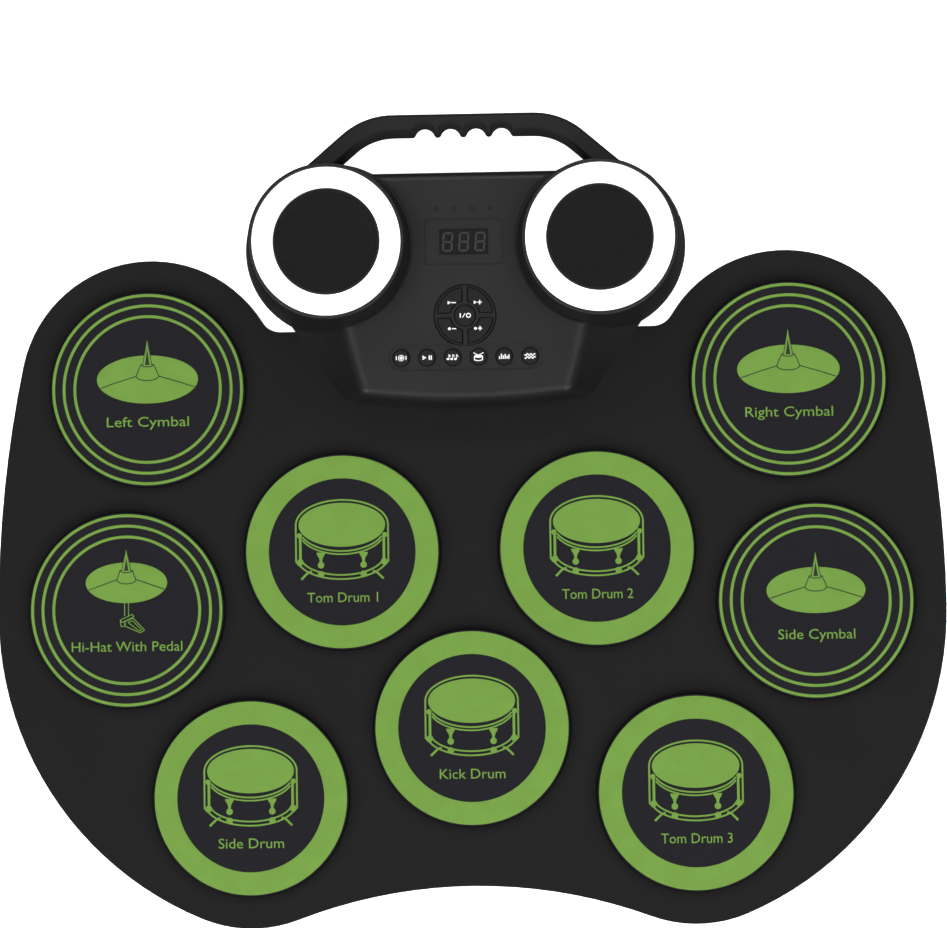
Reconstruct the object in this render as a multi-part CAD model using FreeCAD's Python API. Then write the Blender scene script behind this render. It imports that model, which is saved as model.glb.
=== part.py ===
"""Electronic drum pad: a flexible nine-zone playing mat clamped under a console with two loudspeakers.

Millimetres. +X is the player's right, +Y points away from the player, +Z is up.
The origin is the centre of the object's footprint, on the surface it lies on.
"""
import math
import os

import FreeCAD
import Part

V = FreeCAD.Vector
os.makedirs("parts", exist_ok=True)

# ---- mat -------------------------------------------------------------------
MAT_TOP = 4.0            # top of the mat
BASE_TOP = 1.4           # top of the base sheet
FILM = 0.2               # thickness of one film
FILM_INSET = 5.0         # from the mat's edge to the films' edge
POCKET_INSET = 4.0       # from the mat's edge to the pocket that holds the films
LOBE = (146.0, 62.0, 60.5)      # outline circles: centre x, centre y, radius
LOW = (66.5, -41.0, 151.0)
TOE = (101.5, -125.0, 60.0)
SIDE_R = 550.0
FRONT_Y = -166.7         # the front edge on the centre line
NOTCH_R = 10.0
TONGUE_Y = 88.5          # straight rear edge of the mat
TONGUE_HALF = 48.0       # the tongue that runs under the console
TONGUE_END = 108.0

# ---- pads ------------------------------------------------------------------
PAD_R = 45.0
PAD_Z0, PAD_Z1 = 3.7, 6.2
PAD_SEAT_Z = 3.0         # floor of the recess under a pad
PAD_GAP = 0.35
PADS = {
    "pad_crash_left": (-147.3, 62.9),
    "pad_crash_right": (147.3, 62.9),
    "pad_hi_hat": (-157.9, -38.6),
    "pad_ride": (157.9, -38.6),
    "pad_tom_high": (-58.4, -13.2),
    "pad_tom_low": (58.4, -13.2),
    "pad_kick": (0.0, -94.5),
    "pad_snare": (-101.7, -125.3),
    "pad_floor_tom": (101.7, -125.3),
}

# ---- console ---------------------------------------------------------------
Z0 = 4.0                 # underside of the console, on top of the mat
TOP = 40.0               # top of the speaker pods
SPLIT = 11.0             # joint between the two housings
SEAM = 0.1               # gap in that joint
WALL = 2.2
POD = (61.4, 125.9)      # centre of the right-hand pod
POD_R0, POD_R1 = 40.0, 35.2     # at the underside and at the top
FACE_Y, FACE_Z = 53.0, 19.5     # a point on the sloping face
SLOPE = math.degrees(math.atan2(27.0 - 19.5, 104.0))
FLOOR = Z0 + WALL
ROOF = 2.4               # thickness of the sloping face
FRONT_R = 347.0          # plan radius of the bowed front
CORNER_ROUND = 8.0       # plan radius of the front corners
EDGE_R = (5.0, 8.0, 14.0)       # rounding of the top edge: front, flank's start, flank's end
REAR_R = 5.0
SHELF_Z = (31.0, 33.0)   # floor of the trough for the light ring
NECK_R = (22.4, 24.0)    # tube between the trough and the loudspeaker
NECK_Z = 38.6
RING_R = (24.2, 33.4)    # light ring
RING_Z = (37.6, 39.6)
TROUGH_R = 33.6
SCREWS = [(90.1, 110.6), (30.0, 149.5), (30.0, 98.0)]   # and their mirror images
FEET = [(76.0, 146.0), (64.0, 111.0)]

# ---- panel -----------------------------------------------------------------
DISH_Y, DISH_R = 93.0, 14.4
DISH_DEPTH = 1.0
KEY_ROW_Y, KEY_R, KEY_PITCH = 74.2, 3.7, 11.7
KEY_GAP = 0.3
ROW_DEPTH = 0.6
KEY_TRAVEL = 0.7
SECTOR_R = (6.8, 12.6)
SECTOR_WEB = 2.6
HUB_R = 4.7
SCREEN_Y = 126.4
BEZEL = (35.6, 21.2, 0.8)       # width, height, depth
WINDOW = (22.1, 11.5)
LAMP_Y, LAMP_X = 141.3, (-12.2, -4.1, 4.1, 12.2)
ROW_KEYS = ["key_record", "key_play", "key_demo", "key_kit", "key_rhythm", "key_style"]

# ---- handle ----------------------------------------------------------------
BAR_Y = (176.7, 185.0)
BAR_Z = (6.0, 24.0)
LEG_ANGLE = 40.6         # of the legs, from the X axis
CORNER_X, CORNER_R = 44.9, 35.0
LEG_W = 9.0
FINGER_PITCH, FINGER_DEPTH = 11.75, 4.0    # four hollows under the bar
RIDGE_R = 1.7            # rounded ridges between the hollows
BEVEL = 1.2


# ---- small helpers ---------------------------------------------------------
def save(shape, name):
    if len(shape.Solids) == 1:
        shape = shape.Solids[0]
    shape.exportStep("parts/" + name + ".step")


def disc(x, y, z0, z1, r):
    return Part.makeCylinder(r, z1 - z0, V(x, y, z0))


def ring(x, y, z0, z1, outer, inner):
    return disc(x, y, z0, z1, outer).cut(disc(x, y, z0 - 1, z1 + 1, inner))


def cone(x, y, z0, z1, r0, r1):
    return Part.makeCone(r0, r1, z1 - z0, V(x, y, z0))


def box(x0, x1, y0, y1, z0, z1):
    return Part.makeBox(x1 - x0, y1 - y0, z1 - z0, V(x0, y0, z0))


def flip(shape):
    """The mirror image on the other side of the centre line."""
    return shape.mirror(V(0, 0, 0), V(1, 0, 0))


def both(shape):
    return [shape, flip(shape)]


def join(shapes):
    out = shapes[0]
    for s in shapes[1:]:
        out = out.fuse(s)
    return out.removeSplitter()


def arc(a, m, b):
    return Part.Arc(V(*a), V(*m), V(*b)).toShape()


def line(a, b):
    return Part.makeLine(V(*a), V(*b))


def face_z(y):
    """Height of the console's sloping face at y."""
    return FACE_Z + (y - FACE_Y) * math.tan(math.radians(SLOPE))


def on_face(shape, y):
    """Moves a shape built at the origin, with its outside towards +Z, onto the face."""
    s = shape.copy()
    s.rotate(V(0, 0, 0), V(1, 0, 0), SLOPE)
    s.translate(V(0, y, face_z(y)))
    return s


def slab(w_low, w_high):
    """The layer between two distances from the sloping face, over the whole console."""
    y_mid = 105.0
    return on_face(box(-120, 120, -90, 90, w_low, w_high), y_mid)


def pod_radius(z):
    return POD_R0 + (POD_R1 - POD_R0) * (z - Z0) / (TOP - Z0)


def radial(side, angle, r, z, length, radius):
    """A rod that runs outwards through a pod's wall, from r to r + length from its axis."""
    a = math.radians(angle)
    d = V(math.cos(a) * side, math.sin(a), 0)
    start = V(POD[0] * side, POD[1], z) + d * r
    return Part.makeCylinder(radius, length, start, d)


def radial_box(side, angle, r0, r1, half, z0, z1):
    b = box(r0, r1, -half, half, z0, z1)
    b.rotate(V(0, 0, 0), V(0, 0, 1), angle)
    b.translate(V(POD[0], POD[1], 0))
    return b if side > 0 else flip(b)


# ---- the mat's outline -----------------------------------------------------
def touch(a, b):
    """The point where two tangent circles (x, y, r, bends outwards) meet."""
    if a[3] == b[3]:
        small, big = (a, b) if a[2] < b[2] else (b, a)
        k = small[2] / math.hypot(small[0] - big[0], small[1] - big[1])
        return (small[0] + (small[0] - big[0]) * k, small[1] + (small[1] - big[1]) * k)
    k = a[2] / math.hypot(b[0] - a[0], b[1] - a[1])
    return (a[0] + (b[0] - a[0]) * k, a[1] + (b[1] - a[1]) * k)


def side_centre():
    """Centre of the big side circle, which holds the lobe and low circles inside it."""
    dx, dy = LOW[0] - LOBE[0], LOW[1] - LOBE[1]
    d = math.hypot(dx, dy)
    p, q = SIDE_R - LOBE[2], SIDE_R - LOW[2]
    along = (d * d + p * p - q * q) / (2 * d)
    off = math.sqrt(p * p - along * along)
    ux, uy = dx / d, dy / d
    return (LOBE[0] + ux * along + uy * off, LOBE[1] + uy * along - ux * off)


def mat_circles(inset):
    """The outline's circles from the front edge to the notch, moved inwards by inset."""
    d = TOE[1] - FRONT_Y
    front_r = (TOE[0] ** 2 + d * d - TOE[2] ** 2) / (2 * (TOE[2] - d))
    sx, sy = side_centre()
    notch_y = TONGUE_Y + NOTCH_R
    reach = LOBE[2] + NOTCH_R
    notch_x = LOBE[0] - math.sqrt(reach ** 2 - (notch_y - LOBE[1]) ** 2)
    return [
        (0.0, FRONT_Y - front_r, front_r + inset, False),
        (TOE[0], TOE[1], TOE[2] - inset, True),
        (LOW[0], LOW[1], LOW[2] - inset, True),
        (sx, sy, SIDE_R - inset, True),
        (LOBE[0], LOBE[1], LOBE[2] - inset, True),
        (notch_x, notch_y, NOTCH_R + inset, False),
    ]


def mat_sheet(inset, z0, z1, tongue=True):
    """A sheet with the mat's outline. The rear edge is straight, with or without the tongue."""
    c = mat_circles(inset)
    front_r = c[0][2]
    pts = [(0.0, c[0][1] + front_r)]
    pts += [touch(c[i], c[i + 1]) for i in range(len(c) - 1)]
    pts.append((c[-1][0], c[-1][1] - c[-1][2]))
    edges = []
    for i, (cx, cy, r, _) in enumerate(c):
        (ax, ay), (bx, by) = pts[i], pts[i + 1]
        mx, my = (ax + bx) / 2 - cx, (ay + by) / 2 - cy
        k = r / math.hypot(mx, my)
        mid = (cx + mx * k, cy + my * k)
        edges.append(arc((ax, ay, z0), (mid[0], mid[1], z0), (bx, by, z0)))
    rear = TONGUE_Y - inset
    edges.append(line((pts[-1][0], rear, z0), (0, rear, z0)))
    mirrored = [flip(e) for e in edges]
    wire = Part.Wire(Part.__sortEdges__(edges + mirrored))
    sheet = Part.Face(wire).extrude(V(0, 0, z1 - z0))
    if tongue:
        h = TONGUE_HALF - inset
        sheet = sheet.fuse(box(-h, h, rear - 5, TONGUE_END - inset, z0, z1)).removeSplitter()
    return sheet


# ---- the mat's layers ------------------------------------------------------
CLAMP = (44.0, 94.0, 104.0)     # clamp plate: half width, front and rear edge
CLAMP_SCREWS = (-36.0, -20.0, 20.0, 36.0)
CLAMP_Y = 99.0
TAIL_HALF = 13.0         # half width of the ribbon tail
TAIL_Y = 92.0            # where the tail turns upwards


def mat_base_sheet():
    s = mat_sheet(0, 0, BASE_TOP)
    h, y0, y1 = CLAMP
    return s.cut(box(-h - 0.2, h + 0.2, y0 - 0.2, y1 + 0.2, -1, BASE_TOP + 1))


def mat_top_sheet():
    s = mat_sheet(0, BASE_TOP, MAT_TOP)
    s = s.cut(mat_sheet(POCKET_INSET, BASE_TOP - 1, BASE_TOP + 3 * FILM, False))
    for x, y in PADS.values():
        s = s.cut(disc(x, y, PAD_SEAT_Z, MAT_TOP + 1, PAD_R + PAD_GAP))
    slot = box(-TAIL_HALF - 0.4, TAIL_HALF + 0.4, TAIL_Y - 12, TAIL_Y + 0.6, 0, 2.0)
    s = s.cut(slot)
    s = s.cut(box(-TAIL_HALF - 0.4, TAIL_HALF + 0.4, TAIL_Y - 0.7, TAIL_Y + 0.6, 0, 9))
    for x in CLAMP_SCREWS:
        s = s.cut(disc(x, CLAMP_Y, 0, 9, 1.55))
    return s


def film(level, windows):
    z0 = BASE_TOP + level * FILM
    s = mat_sheet(FILM_INSET, z0, z0 + FILM, False)
    if windows:
        for x, y in PADS.values():
            s = s.cut(disc(x, y, z0 - 1, z0 + 1, PAD_R - 6))
    return s


def pad(x, y):
    s = disc(x, y, PAD_Z0, PAD_Z1, PAD_R)
    top = [e for e in s.Edges if abs(e.BoundBox.ZMin - PAD_Z1) < 1e-6 and e.BoundBox.XLength > 1]
    return s.makeFillet(0.9, top)


def pad_cushions():
    """Foam under each pad: an outer ring and a centre spot."""
    out = []
    for x, y in PADS.values():
        out.append(ring(x, y, PAD_SEAT_Z, PAD_Z0, PAD_R - 2, PAD_R - 8))
        out.append(disc(x, y, PAD_SEAT_Z, PAD_Z0, 6))
    return Part.makeCompound(out)


def ribbon_tail():
    """A flat ribbon from between the films, up through the floor, to the main board."""
    t, y0, y2, z1 = 0.3, TONGUE_Y - 5 + 0.3, BOARD_Y[1] - 3.0, BOARD_Z[1] + 1.2
    za = BASE_TOP + 0.15
    flat = box(-TAIL_HALF, TAIL_HALF, y0, TAIL_Y, za, za + t)
    up = box(-TAIL_HALF, TAIL_HALF, TAIL_Y - t, TAIL_Y, za, z1 + t)
    back = box(-TAIL_HALF, TAIL_HALF, y2, TAIL_Y, z1, z1 + t)
    return join([flat, up, back])


def mat_clamp_plate():
    h, y0, y1 = CLAMP
    s = box(-h, h, y0, y1, 0.4, BASE_TOP)
    s = s.makeFillet(3.0, [e for e in s.Edges if e.BoundBox.ZLength > 0.5])
    for x in CLAMP_SCREWS:
        s = s.cut(cone(x, CLAMP_Y, 0.4, BASE_TOP, 2.65, 1.55))
    return s


def clamp_screws():
    out = []
    for x in CLAMP_SCREWS:
        head = cone(x, CLAMP_Y, 0.45, BASE_TOP, 2.5, 1.4)
        cross = box(x - 1.4, x + 1.4, CLAMP_Y - 0.3, CLAMP_Y + 0.3, 0, 0.95)
        cross = cross.fuse(box(x - 0.3, x + 0.3, CLAMP_Y - 1.4, CLAMP_Y + 1.4, 0, 0.95))
        out.append(head.fuse(disc(x, CLAMP_Y, BASE_TOP, 8.4, 1.4)).cut(cross))
    return Part.makeCompound(out)


# ---- the console's outer form ----------------------------------------------
def console_wire(z, inset, front, flank_a, flank_b, rear_x, rear_y):
    """Convex front arc, rounded corners, straight flanks and a straight rear edge."""
    cy = front + FRONT_R
    big, small = FRONT_R - inset, CORNER_ROUND - inset
    ax, ay = flank_a
    bx, by = flank_b
    ln = math.hypot(bx - ax, by - ay)
    dx, dy = (bx - ax) / ln, (by - ay) / ln
    nx, ny = dy, -dx                       # points outwards
    ox, oy = ax - nx * (small + inset), ay - ny * (small + inset)
    # the corner circle's centre is on the flank's parallel, big - small from (0, cy)
    b = ox * dx + (oy - cy) * dy
    c = ox * ox + (oy - cy) ** 2 - (big - small) ** 2
    t = -b - math.sqrt(b * b - c)
    qx, qy = ox + dx * t, oy + dy * t
    k = big / math.hypot(qx, qy - cy)
    p1 = (qx * k, cy + (qy - cy) * k)
    p2 = (qx + nx * small, qy + ny * small)
    mx, my = (p1[0] + p2[0]) / 2 - qx, (p1[1] + p2[1]) / 2 - qy
    k = small / math.hypot(mx, my)
    mid = (qx + mx * k, qy + my * k)
    p3 = (bx - nx * inset, by - ny * inset)
    p4 = (rear_x - inset, rear_y - inset)
    edges = [
        arc((-p1[0], p1[1], z), (0, cy - big, z), (p1[0], p1[1], z)),
        arc((*p1, z), (*mid, z), (*p2, z)),
        line((*p2, z), (*p3, z)),
        line((*p3, z), (*p4, z)),
        line((*p4, z), (-p4[0], p4[1], z)),
        line((-p4[0], p4[1], z), (-p3[0], p3[1], z)),
        line((-p3[0], p3[1], z), (-p2[0], p2[1], z)),
        arc((-p2[0], p2[1], z), (-mid[0], mid[1], z), (-p1[0], p1[1], z)),
    ]
    return Part.Wire(edges)


def console_body(inset, roof):
    """The console without its pods. inset and roof shrink it to give the cavity."""
    lean = 1.6 * inset
    low = console_wire(Z0, inset, 52.0, (59.5 - lean, 61.0), (87.1 - lean, 100.0), 55.0, 159.0)
    high = console_wire(30.0, inset, 56.3, (43.0 - lean, 61.0), (43.3 - lean, 100.0), 52.0, 158.0)
    body = Part.makeLoft([low, high], True, True)
    return body.cut(slab(-roof, 60))


def middle(edge):
    return edge.valueAt((edge.FirstParameter + edge.LastParameter) / 2)


def edge_radius(point):
    """Rounding of the top edge at a point: it widens from the front corners to the pods."""
    if point.y < 60.0:
        return EDGE_R[0]
    if point.y < 75.0:
        return EDGE_R[1]
    return EDGE_R[2]


def widening_fillet(body, chosen):
    """Rounds the chosen edges, each with a radius that varies from one end to the other."""
    doc = FreeCAD.newDocument()
    base = doc.addObject("Part::Feature", "base")
    base.Shape = body
    rounded = doc.addObject("Part::Fillet", "rounded")
    rounded.Base = base
    spans = []
    for number, e in enumerate(body.Edges, 1):
        if chosen(middle(e)):
            ends = (e.valueAt(e.FirstParameter), e.valueAt(e.LastParameter))
            spans.append((number, edge_radius(ends[0]), edge_radius(ends[1])))
    rounded.Edges = spans
    doc.recompute()
    shape = rounded.Shape.copy()
    FreeCAD.closeDocument(doc.Name)
    return shape


def on_top_edge(point):
    return abs(point.z - face_z(point.y)) < 0.05


def rounded_console():
    body = console_body(0, 0)
    body = widening_fillet(body, lambda m: on_top_edge(m) and m.y < 99.0)
    rear = [e for e in body.Edges
            if on_top_edge(middle(e)) and middle(e).y > 150.0 and abs(middle(e).x) < 5.0]
    body = body.makeFillet(REAR_R, rear)
    groove = ring(POD[0], POD[1], Z0, TOP, 38.3, 30)
    groove = groove.common(slab(-0.7, 30))
    for g in both(groove):
        body = body.cut(g)
    return body


def pod_form(inset, top):
    r0 = pod_radius(Z0) - inset
    r1 = pod_radius(top) - inset
    return cone(POD[0], POD[1], Z0, top, r0, r1)


def outer_form():
    pod = pod_form(0, TOP)
    rim = [e for e in pod.Edges if e.BoundBox.ZMin > TOP - 0.01]
    pod = pod.makeFillet(1.0, rim)
    return join([rounded_console()] + both(pod))


def cavity():
    """The space inside the two housings, up to the underside of the pods' shelves."""
    body = console_body(WALL, ROOF)
    body = body.cut(box(-200, 200, 0, 300, 0, FLOOR))
    pod = pod_form(WALL, SHELF_Z[0]).cut(box(-200, 200, 0, 300, 0, FLOOR))
    return join([body] + both(pod))


# ---- the console's housings ------------------------------------------------
JACK_Z = 11.0
JACKS = [(-1, 50.0), (-1, 25.0), (1, 52.0)]     # side and angle from that side's X axis
USB = (1, 25.0)
TENON_ANGLE = 87.0
TENON_Z = 15.0
BOARD_Y = (62.0, 90.0)
BOARD_Z = (8.2, 9.8)


def side_holes():
    """Holes in the pods' walls for the sockets and the handle's tenons."""
    out = [radial(s, a, 30, JACK_Z, 12, 3.6) for s, a in JACKS]
    out.append(radial_box(USB[0], USB[1], 30, 42, 5.0, JACK_Z - 2.1, JACK_Z + 2.1))
    out += [radial(s, TENON_ANGLE, 30, TENON_Z, 12, 2.75) for s in (-1, 1)]
    return out


def screw_points():
    return [(x, y) for x, y in SCREWS] + [(-x, y) for x, y in SCREWS]


def board_posts():
    return [(x, y) for x in (-38.0, 38.0) for y in (66.0, 86.0)]


def lower_housing(form, inside):
    s = form.cut(box(-200, 200, 0, 300, SPLIT - SEAM / 2, 80)).cut(inside)
    add, holes = [], side_holes()
    for x, y in screw_points():
        add.append(disc(x, y, FLOOR - 0.5, SPLIT - 0.2, 3.4))
        holes.append(disc(x, y, 0, 20, 1.6))
        holes.append(disc(x, y, 0, Z0 + 1.6, 3.0))
    for x, y in board_posts():
        add.append(disc(x, y, FLOOR - 0.5, BOARD_Z[0], 3.0))
        holes.append(disc(x, y, FLOOR, 20, 1.1))
    for x in CLAMP_SCREWS:
        add.append(disc(x, CLAMP_Y, FLOOR - 0.5, 8.9, 3.0))
        holes.append(disc(x, CLAMP_Y, 0, 8.6, 1.45))
    holes.append(box(-TAIL_HALF - 0.4, TAIL_HALF + 0.4, TAIL_Y - 0.7, TAIL_Y + 0.6, 0, 9))
    for x, y in FEET:
        holes += both(disc(x, y, 0, Z0 + 0.6, 6.6))
    for side in (-1, 1):                    # vents under each loudspeaker
        for i in range(5):
            y = POD[1] - 12 + i * 6
            holes.append(box(side * POD[0] - 10, side * POD[0] + 10, y - 1, y + 1, 0, 9))
    s = join([s] + add)
    for h in holes:
        s = s.cut(h)
    return s


def key_shapes(gap, w0, w1):
    """Every key's outline, grown by gap, as solids between two heights over the face."""
    out = {}
    hub = disc(0, 0, w0, w1, HUB_R + gap)
    out["key_power"] = (hub, DISH_Y)
    big = ring(0, 0, w0, w1, SECTOR_R[1] + gap, SECTOR_R[0] - gap)
    half = SECTOR_WEB / 2 - gap
    names = ["key_volume_up", "key_volume_down", "key_tempo_down", "key_tempo_up"]
    for turn in (0, 90):                    # two crossed webs part the sectors
        web = box(-40, 40, -half, half, w0, w1)
        web.rotate(V(0, 0, 0), V(0, 0, 1), turn)
        big = big.cut(web)
    for k, name in enumerate(names):
        wx, wy = [(1, 1), (-1, 1), (-1, -1), (1, -1)][k]
        best = max(big.Solids, key=lambda p: p.CenterOfMass.x * wx + p.CenterOfMass.y * wy)
        out[name] = (best, DISH_Y)
    for i, name in enumerate(ROW_KEYS):
        x = (i - 2.5) * KEY_PITCH
        out[name] = (disc(x, 0, w0, w1, KEY_R + gap), KEY_ROW_Y)
    return out


def upper_housing(form, inside):
    s = form.cut(box(-200, 200, 0, 300, 0, SPLIT + SEAM / 2)).cut(inside)
    px, py = POD
    trough = ring(px, py, SHELF_Z[1], RING_Z[0] - 1.6, pod_radius(36) - WALL, NECK_R[1])
    seat = ring(px, py, RING_Z[0] - 1.7, TOP + 1, TROUGH_R, NECK_R[1])
    lip = ring(px, py, RING_Z[0] - 1.6, RING_Z[0], TROUGH_R + 0.1, TROUGH_R - 1.6)
    centre = disc(px, py, SHELF_Z[0] - 1, NECK_Z - 2.2, NECK_R[0])
    mouth = disc(px, py, NECK_Z - 2.3, TOP + 1, NECK_R[0])
    above = disc(px, py, NECK_Z, TOP + 1, NECK_R[1] + 0.1)
    add, holes = [], side_holes()
    for m in (trough, seat, centre, mouth, above):
        holes += both(m)
    for a in range(4):                      # holes for the loudspeaker screws
        t = math.radians(45 + 90 * a)
        x, y = px + 29.0 * math.cos(t), py + 29.0 * math.sin(t)
        holes += both(disc(x, y, SHELF_Z[0] - 1, SHELF_Z[1] - 0.3, 1.05))
    for x, y in screw_points():
        top = 27.0 if abs(x) > 80 else face_z(y) - ROOF + 0.4
        add.append(disc(x, y, SPLIT + 0.2, top, 3.2))
        holes.append(disc(x, y, 0, 17.2, 1.35))
    dish = cone(0, 0, -DISH_DEPTH, 0.01, DISH_R - 0.8, DISH_R)
    holes.append(on_face(dish, DISH_Y))
    row = box(-29.0, 29.0, -6.0, 6.0, -ROW_DEPTH, 1)
    row = join([row, disc(-29, 0, -ROW_DEPTH, 1, 6.0), disc(29, 0, -ROW_DEPTH, 1, 6.0)])
    holes.append(on_face(row, KEY_ROW_Y))
    for shape, y in key_shapes(KEY_GAP, -5, 3).values():
        holes.append(on_face(shape, y))
    w, h, d = BEZEL
    bezel = box(-w / 2, w / 2, -h / 2, h / 2, -d, 1)
    bezel = bezel.makeFillet(2.0, [e for e in bezel.Edges if e.BoundBox.ZLength > 1.7])
    holes.append(on_face(bezel, SCREEN_Y))
    w, h = WINDOW
    holes.append(on_face(box(-w / 2 - 0.1, w / 2 + 0.1, -h / 2 - 0.1, h / 2 + 0.1, -1.9, 1), SCREEN_Y))
    w, h = w - 0.5, h - 0.5
    holes.append(on_face(box(-w / 2, w / 2, -h / 2, h / 2, -5, 1), SCREEN_Y))
    for x in LAMP_X:
        holes.append(on_face(disc(x, 0, -5, 3, 1.1), LAMP_Y))
    lips = both(lip)
    for x in (-22.0, 22.0):                 # posts that carry the key board
        for y in (64.0, 100.0):
            z = face_z(y)
            add.append(disc(x, y, z - 5.2, z - 2.0, 2.2))
            holes.append(disc(x, y, z - 6, z - 2.6, 0.9))
    s = join([s] + add)
    for h in holes:
        s = s.cut(h)
    return join([s] + lips)


# ---- keys, keypad and boards -----------------------------------------------
KEY_TOP = 0.9            # of the row keys over the face
SECTOR_TOP = 0.5
KEY_FOOT = (-3.5, -2.7)  # flange that holds a key under the roof
PAD_SHEET = (-5.3, -4.6)
KEY_BOARD = (-6.9, -5.3)


def make_keys():
    feet = key_shapes(0.9, *KEY_FOOT)
    out = {}
    for name, (shape, y) in key_shapes(0, KEY_FOOT[0] + 0.1, 0).items():
        row = name in ROW_KEYS
        top = KEY_TOP if row else SECTOR_TOP
        cap = key_shapes(0, KEY_FOOT[0] + 0.1, top)[name][0]
        rim = [e for e in cap.Edges if e.BoundBox.ZMin > top - 1e-6]
        cap = cap.makeFillet(0.45, rim)
        foot = feet[name][0]
        if not row:                         # the dish is deeper, so its keys sit lower
            foot = foot.common(disc(0, 0, -9, 9, SECTOR_R[1] + 0.9))
        out[name] = on_face(cap.fuse(foot).removeSplitter(), y)
    return out


def key_centres():
    """Where the keypad has a dome: x and y in the face's plane, and the row's y."""
    r = (SECTOR_R[0] + SECTOR_R[1]) / 2 * math.sqrt(0.5)
    out = [(0.0, 0.0, DISH_Y)] + [(x, v, DISH_Y) for x in (-r, r) for v in (-r, r)]
    return out + [((i - 2.5) * KEY_PITCH, 0.0, KEY_ROW_Y) for i in range(6)]


def panel_sheet(w0, w1, grow=0.0):
    """A board or sheet that lies under the dish and the key row."""
    a = on_face(box(-36 - grow, 36 + grow, -7 - grow, 7, w0, w1), KEY_ROW_Y)
    b = on_face(box(-16.5, 16.5, -16, 15 + grow, w0, w1), DISH_Y)
    return join([a, b])


def rubber_keypad():
    s = panel_sheet(*PAD_SHEET)
    domes = []
    for x, v, y in key_centres():
        dome = cone(x, v, PAD_SHEET[1], KEY_FOOT[0], 2.6, 1.9)
        domes.append(on_face(dome, y))
    s = join([s] + domes)
    for x, v, y in key_centres():
        s = s.cut(on_face(cone(x, v, PAD_SHEET[0] - 0.1, PAD_SHEET[1] + 0.2, 1.9, 1.2), y))
    return s


def key_board():
    s = panel_sheet(*KEY_BOARD)
    chips = [on_face(box(-30, -24, -4, 4, KEY_BOARD[0] - 1.2, KEY_BOARD[0]), KEY_ROW_Y)]
    chips.append(on_face(box(18, 30, -3, 3, KEY_BOARD[0] - 1.6, KEY_BOARD[0]), KEY_ROW_Y))
    return join([s] + chips)


def main_board():
    s = box(-42, 42, BOARD_Y[0], BOARD_Y[1], *BOARD_Z)
    for x, y in board_posts():
        s = s.cut(disc(x, y, 0, 20, 1.5))
    t = BOARD_Z[1]
    parts = [
        box(-7, 7, 68, 80, t, t + 1.6),                 # processor
        box(-30, -20, 70, 78, t, t + 1.4),              # amplifier
        box(18, 28, 72, 80, t, t + 1.2),                # memory
        box(-14, 14, 85.4, 89.4, t, t + 1.1),           # ribbon socket, lower jaw
        disc(-26, 66, t, t + 3.2, 2.5),
        disc(30, 66, t, t + 3.2, 2.5),
        box(8, 13, 64, 66.5, t, t + 2.0),
    ]
    return join([s] + parts)


def board_screws():
    out = []
    for x, y in board_posts():
        z = BOARD_Z[1]
        out.append(disc(x, y, z, z + 1.5, 2.4).fuse(disc(x, y, z - 3.2, z, 1.05)))
    return Part.makeCompound(out)


def display_window():
    w, h = WINDOW
    s = box(-w / 2, w / 2, -h / 2, h / 2, -1.85, -0.95)
    return on_face(s, SCREEN_Y)


def display_module():
    """Board, housing and the raised frame round the three digits."""
    w, h = WINDOW
    body = box(-w / 2 - 2, w / 2 + 2, -h / 2 - 2, h / 2 + 2, -5.6, -ROOF - 0.05)
    w, h = w - 0.7, h - 0.7
    face = box(-w / 2, w / 2, -h / 2, h / 2, -ROOF - 0.1, -2.15)
    board = box(-17, 17, -12, 20, -7.0, -5.6)
    s = join([body, face, board])
    return on_face(s, SCREEN_Y)


def indicator_light_pipes():
    out = []
    for x in LAMP_X:
        pin = disc(x, 0, -5.5, -0.05, 1.0).fuse(disc(x, 0, -3.6, -ROOF - 0.1, 1.5))
        out.append(on_face(pin.removeSplitter(), LAMP_Y))
    return Part.makeCompound(out)


# ---- pods ------------------------------------------------------------------
SPK_R = 27.0             # loudspeaker frame
FLANGE = (29.4, 31.0)
MAGNET_Z = (8.0, 17.0)


def speaker_basket(side):
    px, py = POD
    s = ring(px, py, *FLANGE, SPK_R, 25.2)
    ears = []
    for a in range(4):
        t = math.radians(45 + 90 * a)
        ears.append(disc(px + 29.0 * math.cos(t), py + 29.0 * math.sin(t), *FLANGE, 2.6))
    shell = cone(px, py, 17.0, FLANGE[0] + 0.1, 14.0, 26.4)
    shell = shell.cut(cone(px, py, 18.2, FLANGE[0] + 0.2, 13.4, 25.4))
    shell = shell.cut(disc(px, py, 16, 19, 10.0))
    for a in range(6):                      # windows between the frame's arms
        w = box(12, 40, -5.5, 5.5, 19.5, 27.0)
        w.rotate(V(0, 0, 0), V(0, 0, 1), 60 * a + 15)
        w.translate(V(px, py, 0))
        shell = shell.cut(w)
    s = join([s, shell] + ears)
    for a in range(4):
        t = math.radians(45 + 90 * a)
        s = s.cut(disc(px + 29.0 * math.cos(t), py + 29.0 * math.sin(t), 20, 40, 1.5))
    return s if side > 0 else flip(s)


def speaker_magnet(side):
    px, py = POD
    s = join([
        ring(px, py, 9.5, 15.5, 17.0, 9.4),
        disc(px, py, MAGNET_Z[0], 9.5, 15.5),
        ring(px, py, 15.5, MAGNET_Z[1], 14.0, 9.4),
        disc(px, py, 9.4, 16.5, 7.6),
    ])
    return s if side > 0 else flip(s)


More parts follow.
